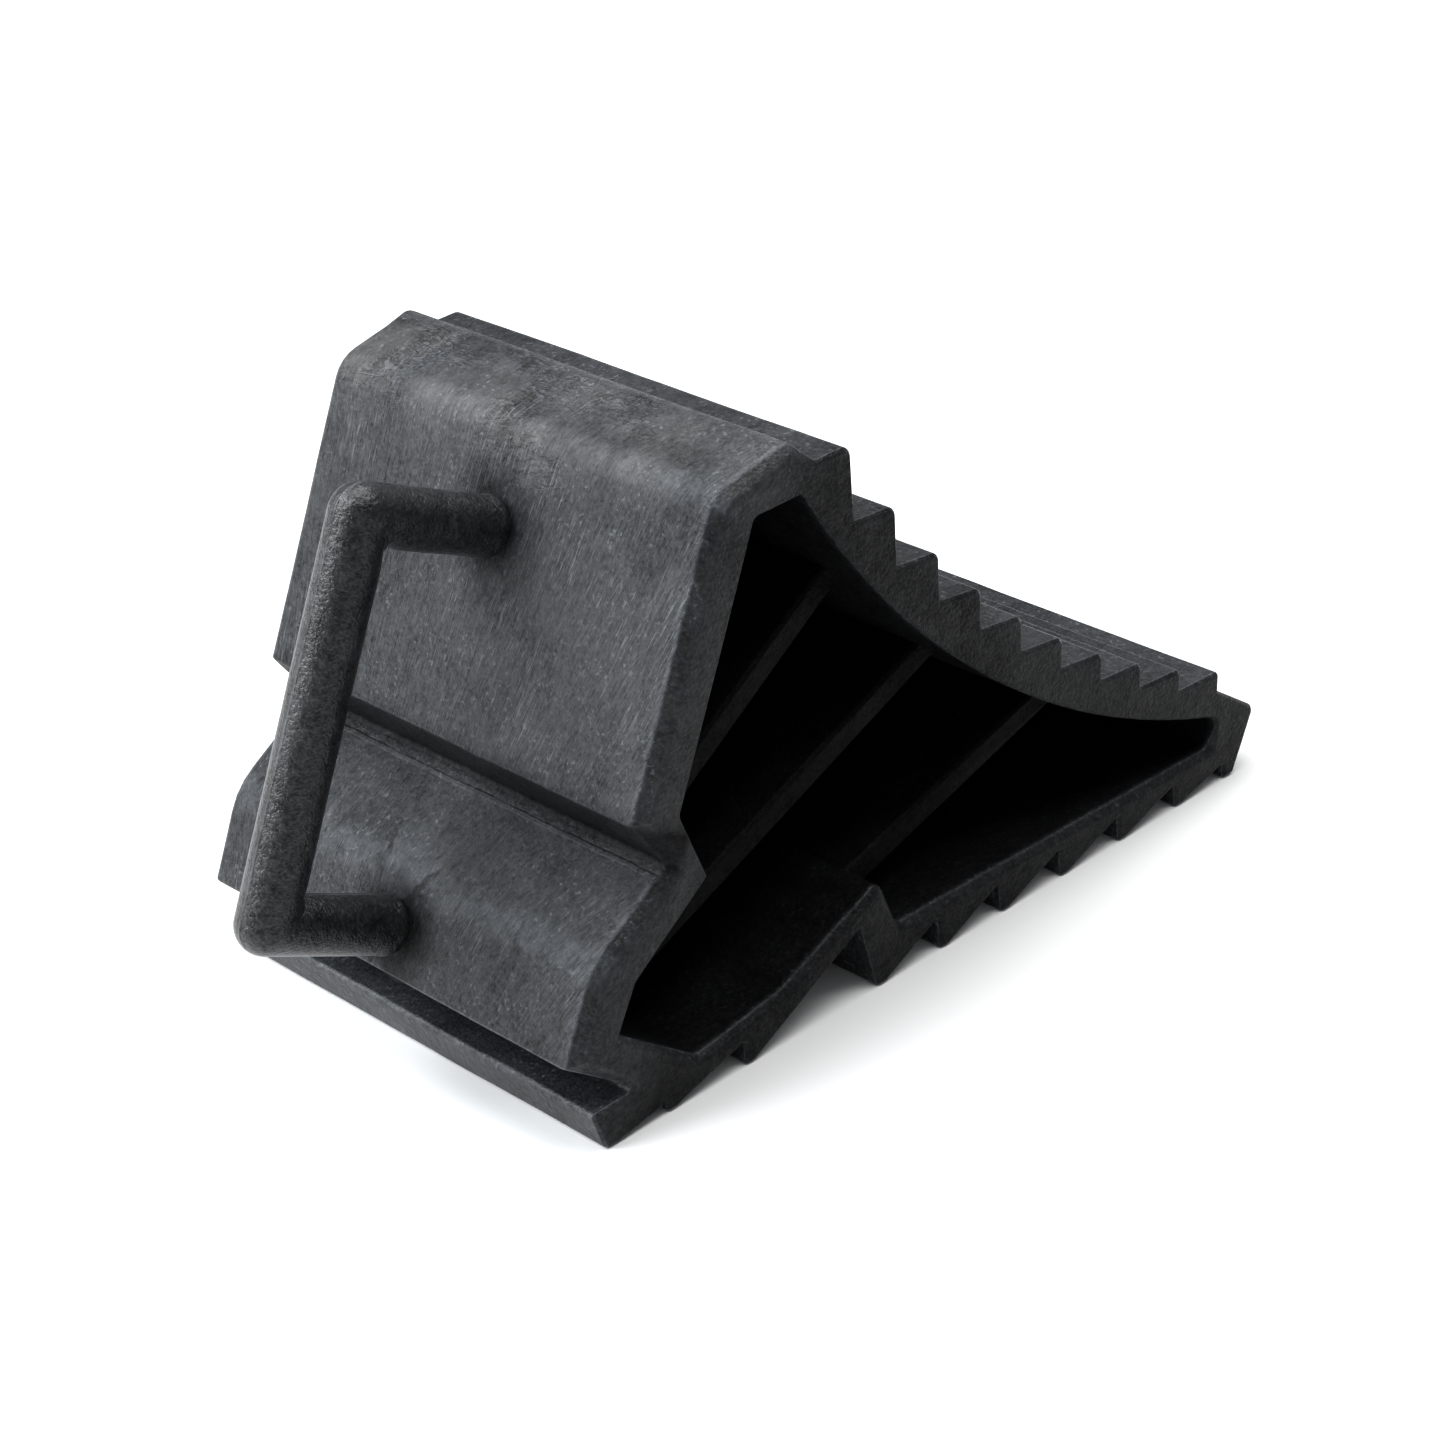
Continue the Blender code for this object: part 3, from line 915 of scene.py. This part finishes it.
def ledge_marks(net, along, outward, patch):
    """Thin mould line below the ledge, and painted shade on the ledge and in the strip round it."""
    line_gap = net.sum(along, net.sum(net.times(patch, 0.0012), MOULD_LINE))
    mould_line = net.span(net.maths("ABSOLUTE", line_gap), 0.00075, 0.0003)
    mould_line = net.times(mould_line, net.span(outward, -0.0162, -0.0158))
    ledge_shade = net.times(net.band(along, -0.0125, -0.0100, -0.001, 0.0015), net.span(outward, -0.020, -0.017))
    ledge_strip_shade = net.times(net.band(along, -0.024, -0.013, 0.000, 0.004), net.span(outward, -0.020, -0.015))
    return mould_line, ledge_shade, ledge_strip_shade


def foot_painted_shade(net, along, outward, across, patch):
    """Painted shade: a soft dark halo round each foot of the handle, where the leg shades the wall."""
    foot_shade = []
    for _, leg, _ in FEET:
        gap = net.less(along, leg * MM)
        distance = net.maths("SQRT", net.sum(net.times(gap, gap), net.times(across, across)))
        ragged = net.sum(distance, net.times(net.less(patch, 0.5), 0.012))
        foot_shade.append(net.times(net.span(ragged, 0.020, 0.009), net.span(outward, -0.006, -0.001)))
    return net.most(*foot_shade)


def body_rubber():
    net = Net("body_rubber_look")
    place = net.place()
    along, outward = wall_places(net, place)
    across = net.dot(place, ACROSS)
    sideways = net.sideways()
    inside = net.attribute("inside")
    wear_and_highlight = net.attribute("wear_and_highlight")
    # outer skin of the back wall without its bevelled ends, then the tyre side, toe and underside, which get
    # painted shade, most where they face the ends
    back = net.times(net.span(outward, -0.020, -0.002), net.span(along, -0.075, -0.066))
    back = net.times(back, net.span(sideways, 0.6, 0.3))
    far_side_shade = net.times(net.span(outward, -0.020, -0.030), net.span(sideways, 0.3, 0.9, 0.30, 1.0))
    brow = net.times(net.span(along, 0.066, 0.080), net.span(outward, -0.026, -0.014))
    # noises from coarse to fine
    blotch = net.cloud(place, 22.0, 5.0, 0.6, 0.6)
    patch = net.cloud(place, 75.0, 4.0, 0.6)
    speck = net.cloud(place, 420.0, 3.0, 0.7)
    grain = net.cloud(place, 950.0, 2.0, 0.6)
    # marks in their own places
    combed, lines = flow_marks(net, place, along, outward, across)
    lines = net.times(lines, back)
    crinkles = brow_crinkles(net, place, brow, sideways)
    smear, rim = pale_smear(net, place, along, outward, across, patch)
    mould_line, ledge_shade, ledge_strip_shade = ledge_marks(net, along, outward, patch)
    foot_shade = foot_painted_shade(net, along, outward, across, patch)
    flecks = net.span(net.cloud(place, 760.0, 2.0, 0.5), 0.60, 0.70)
    frayed = net.jitter(place, place, 700.0, 0.0022)
    dots = net.span(net.cells(frayed, 130.0), 0.10, 0.06)
    dots = net.times(dots, net.span(net.cloud(place, 60.0), 0.56, 0.62))
    # wear with painted highlight: rounded edges are lighter, partly as rubbed rubber and partly as a painted
    # highlight where they catch the light
    rubbed_and_highlit = net.times(wear_and_highlight, net.span(net.cloud(place, 240.0, 4.0, 0.65), 0.38, 0.62, 0.2, 0.85))
    # pale dust and marks, with the painted highlight on rounded edges, add up to a tone, which painted shade
    # then lowers
    tone = net.sum(net.span(blotch, 0.34, 0.66, 0.028, 0.082),
                   net.span(patch, 0.36, 0.64, -0.014, 0.020),
                   net.span(grain, 0.36, 0.66, -0.012, 0.030),
                   net.span(speck, 0.40, 0.64, -0.010, 0.026),
                   net.times(net.span(combed, 0.36, 0.66, -0.015, 0.034), back),
                   net.times(lines, 0.40),
                   net.times(flecks, net.span(patch, 0.42, 0.58, 0.05, 0.28)),
                   net.times(brow, net.span(patch, 0.36, 0.62, 0.01, 0.085)),
                   # painted shade in the wrinkles' creases and painted light on their ridges
                   net.times(crinkles, 0.13),
                   net.times(smear, 0.13),
                   net.times(dots, 0.40),
                   net.times(rubbed_and_highlit, 0.22),
                   net.times(mould_line, net.span(patch, 0.48, 0.58, 0.0, 0.12)))
    tone = net.most(tone, LEAST_TONE)
    # painted shade round the handle's feet, on the ledge and in the strip round it, and on the far side; the
    # smear's dark rim is a stain
    for mask, share in ((foot_shade, 0.75), (ledge_shade, 0.65), (rim, 0.70), (ledge_strip_shade, 0.35), (far_side_shade, 0.50)):
        tone = net.fade(tone, mask, share)
    # painted shade: the tone is darker where the surface faces either end of the chock
    tone = net.times(tone, net.span(sideways, 0.35, 0.95, 1.0, 0.28))
    # painted shade: the cavities and their ribs are darker by their inside value
    tone = net.fade(tone, inside, 0.85)
    cold = net.mix(tone, BLACK_RUBBER, COLD_DUST)
    warm = net.mix(tone, BLACK_RUBBER, WARM_DUST)
    colour = net.mix(net.times(brow, net.span(blotch, 0.40, 0.60)), cold, warm)
    # relief from fine to coarse
    normal = net.bump(net.sum(net.times(grain, 0.5), net.times(speck, 0.6)), 0.00055)
    normal = net.bump(net.times(combed, back), 0.00065, 1.0, normal)
    normal = net.bump(net.sum(lines, net.times(mould_line, 1.5)), 0.00014, 1.0, normal)
    normal = net.bump(crinkles, 0.0011, 1.0, normal)
    normal = net.bump(net.sum(blotch, net.times(patch, 0.35)), 0.0012, 0.35, normal)
    rough = net.sum(net.span(patch, 0.3, 0.7, 0.38, 0.52), net.times(lines, 0.10), net.times(inside, 0.05))
    # shine, less where shade is painted: on the ends, on the far side, in the cavities, round the feet and
    # on the ledge
    gloss = net.sum(net.span(grain, 0.36, 0.64, -0.05, 0.09),
                    net.span(speck, 0.38, 0.64, -0.04, 0.08),
                    net.times(net.span(combed, 0.38, 0.62, -0.05, 0.09), back),
                    net.span(blotch, 0.34, 0.66, 0.19, 0.36),
                    net.times(lines, 0.25))
    gloss = net.times(net.most(gloss, LEAST_GLOSS), net.span(sideways, 0.35, 0.95, 1.0, 0.42))
    gloss = net.fade(gloss, far_side_shade, 0.35)
    gloss = net.fade(gloss, net.most(inside, foot_shade, ledge_shade, net.times(ledge_strip_shade, 0.5)), 0.7)
    net.out(Base_Color=colour, Roughness=rough, Normal=normal, Specular_IOR_Level=gloss)
    return net.material


def handle_rubber():
    net = Net("handle_rubber_look")
    place = net.place()
    sideways = net.sideways()
    grain = net.cloud(place, 1150.0, 2.0, 0.6)
    speck = net.cloud(place, 560.0, 3.0, 0.7)
    patch = net.cloud(place, 90.0, 4.0, 0.6, 0.4)
    # rubbed streaks along the grip, and the mould seam along the middle
    long_way = net.stretch(place, (0.0, LEAN, 0.0), (1.0, 1.0, 0.12))
    rubs = net.span(net.cloud(long_way, 420.0, 4.0, 0.7), 0.56, 0.74)
    seam = net.span(net.maths("ABSOLUTE", net.dot(place, ACROSS)), 0.0006, 0.0002)
    tone = net.sum(net.span(patch, 0.34, 0.68, 0.018, 0.055),
                   net.span(grain, 0.36, 0.66, -0.008, 0.022),
                   net.span(speck, 0.40, 0.66, -0.006, 0.028),
                   net.times(rubs, net.span(patch, 0.40, 0.60), 0.16),
                   net.times(seam, net.span(patch, 0.42, 0.60, 0.0, 0.12)))
    # painted shade: the grip is darker, and shines less, where it faces either end of the chock
    tone = net.times(net.most(tone, LEAST_TONE), net.span(sideways, 0.3, 0.95, 1.0, 0.55))
    colour = net.mix(tone, BLACK_RUBBER, HANDLE_DUST)
    normal = net.bump(net.sum(net.times(grain, 0.6), net.times(speck, 0.45)), 0.00055)
    normal = net.bump(patch, 0.0011, 0.4, normal)
    normal = net.bump(seam, 0.00016, 1.0, normal)
    rough = net.span(speck, 0.3, 0.7, 0.27, 0.40)
    gloss = net.sum(net.span(grain, 0.36, 0.64, -0.05, 0.10), net.span(speck, 0.38, 0.64, 0.30, 0.54))
    gloss = net.times(net.most(gloss, LEAST_GLOSS), net.span(sideways, 0.3, 0.95, 1.0, 0.6))
    net.out(Base_Color=colour, Roughness=rough, Normal=normal, Specular_IOR_Level=gloss)
    return net.material


def steel(name, base, turn):
    """Drawn steel with stains; the drawing marks run along Z after the turn."""
    net = Net(name)
    place = net.place()
    drawn = net.cloud(net.stretch(place, turn, (1.0, 1.0, 0.04)), 1600.0, 3.0, 0.6)
    stain = net.cloud(place, 160.0, 4.0, 0.6)
    colour = net.mix(net.span(stain, 0.35, 0.7), base, tuple(value * 0.72 for value in base))
    colour = net.mix(net.span(drawn, 0.4, 0.7, 0.0, 0.3), colour, (0.62, 0.61, 0.59))
    net.out(Base_Color=colour, Metallic=1.0, Roughness=net.span(drawn, 0.3, 0.7, 0.28, 0.46),
            Normal=net.bump(drawn, 0.00003, 0.7))
    return net.material


def floor_paper():
    net = Net("floor_paper_look")
    place = net.place()
    tone = net.cloud(place, 3.0, 2.0, 0.5)
    fibres = net.cloud(place, 900.0, 2.0, 0.6)
    colour = net.mix(tone, (0.80, 0.80, 0.80), (0.82, 0.82, 0.82))
    net.out(Base_Color=colour, Roughness=net.span(tone, 0.3, 0.7, 0.90, 0.96),
            Normal=net.bump(fibres, 0.00003, 0.3), Specular_IOR_Level=0.1)
    return net.material


def dress(item, look):
    item.data.materials.clear()
    item.data.materials.append(look)


# ------------------------------------------------------------------ stage

FLOOR_REACH = 4.0
FLOOR_HEIGHT = -0.0002
WORLD_COLOUR = (0.95, 0.97, 1.0, 1.0)
WORLD_STRENGTH = 0.30

# Where the photo's camera stood, relative to the left chock, and a view turned to centre that chock
CAMERA_PLACE = Vector((-0.56721, -0.68898, 0.53374))
CAMERA_FORWARD = Vector((0.56752, 0.67159, -0.47633)).normalized()
CAMERA_UP = Vector((0.38422, 0.29565, 0.87462))
CAMERA_LENS = 94.0


def make_floor():
    mesh = bmesh.new()
    signs = ((-1.0, -1.0), (1.0, -1.0), (1.0, 1.0), (-1.0, 1.0))
    mesh.faces.new([mesh.verts.new((x * FLOOR_REACH, y * FLOOR_REACH, FLOOR_HEIGHT)) for x, y in signs])
    data = bpy.data.meshes.new("floor")
    mesh.to_mesh(data)
    mesh.free()
    floor = link("floor", data)
    dress(floor, floor_paper())


def softbox(name, place, aim, side, power, tint=(1.0, 1.0, 1.0)):
    """Square area light at a place, turned towards its aim."""
    data = bpy.data.lights.new(name, "AREA")
    data.shape = "RECTANGLE"
    data.size = side
    data.size_y = side
    data.energy = power
    data.color = tint
    lamp = link(name, data)
    lamp.location = place
    lamp.rotation_mode = "QUATERNION"
    lamp.rotation_quaternion = (Vector(aim) - Vector(place)).to_track_quat("-Z", "Y")


def make_light():
    world = bpy.data.worlds.new("studio")
    bpy.context.scene.world = world
    world.use_nodes = True
    background = world.node_tree.nodes["Background"]
    background.inputs["Color"].default_value = WORLD_COLOUR
    background.inputs["Strength"].default_value = WORLD_STRENGTH
    softbox("key_left", (-0.92, 0.66, 1.00), (0.0, 0.0, 0.08), 1.10, 40.0, (0.95, 0.98, 1.0))
    softbox("overhead", (0.40, -0.10, 1.50), (0.25, -0.05, 0.0), 1.3, 34.0)
    bpy.context.scene.view_settings.view_transform = "Standard"


def make_camera():
    data = bpy.data.cameras.new("camera")
    data.sensor_width = 36.0
    data.lens = CAMERA_LENS
    data.clip_start = 0.01
    camera = link("camera", data)
    right = CAMERA_FORWARD.cross(CAMERA_UP).normalized()
    up = right.cross(CAMERA_FORWARD)
    camera.matrix_world = Matrix(((right.x, up.x, -CAMERA_FORWARD.x, CAMERA_PLACE.x),
                                  (right.y, up.y, -CAMERA_FORWARD.y, CAMERA_PLACE.y),
                                  (right.z, up.z, -CAMERA_FORWARD.z, CAMERA_PLACE.z),
                                  (0.0, 0.0, 0.0, 1.0)))
    bpy.context.scene.camera = camera


# ------------------------------------------------------------------ assembly

body = make_body()
dress(body, body_rubber())
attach(body, "root")
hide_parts("chock_body")

grip = make_handle()
dress(grip, handle_rubber())
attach(grip, "root")
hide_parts("handle_sleeve")

rod_look = steel("rod_steel_look", (0.42, 0.41, 0.40), (0.0, LEAN, 0.0))
washer_look = steel("anchor_steel_look", (0.50, 0.49, 0.47), (0.0, 0.0, 0.0))
dress(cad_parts["handle_core"], rod_look)
dress(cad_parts["upper_anchor"], washer_look)
dress(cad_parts["lower_anchor"], washer_look)

make_floor()
make_light()
make_camera()
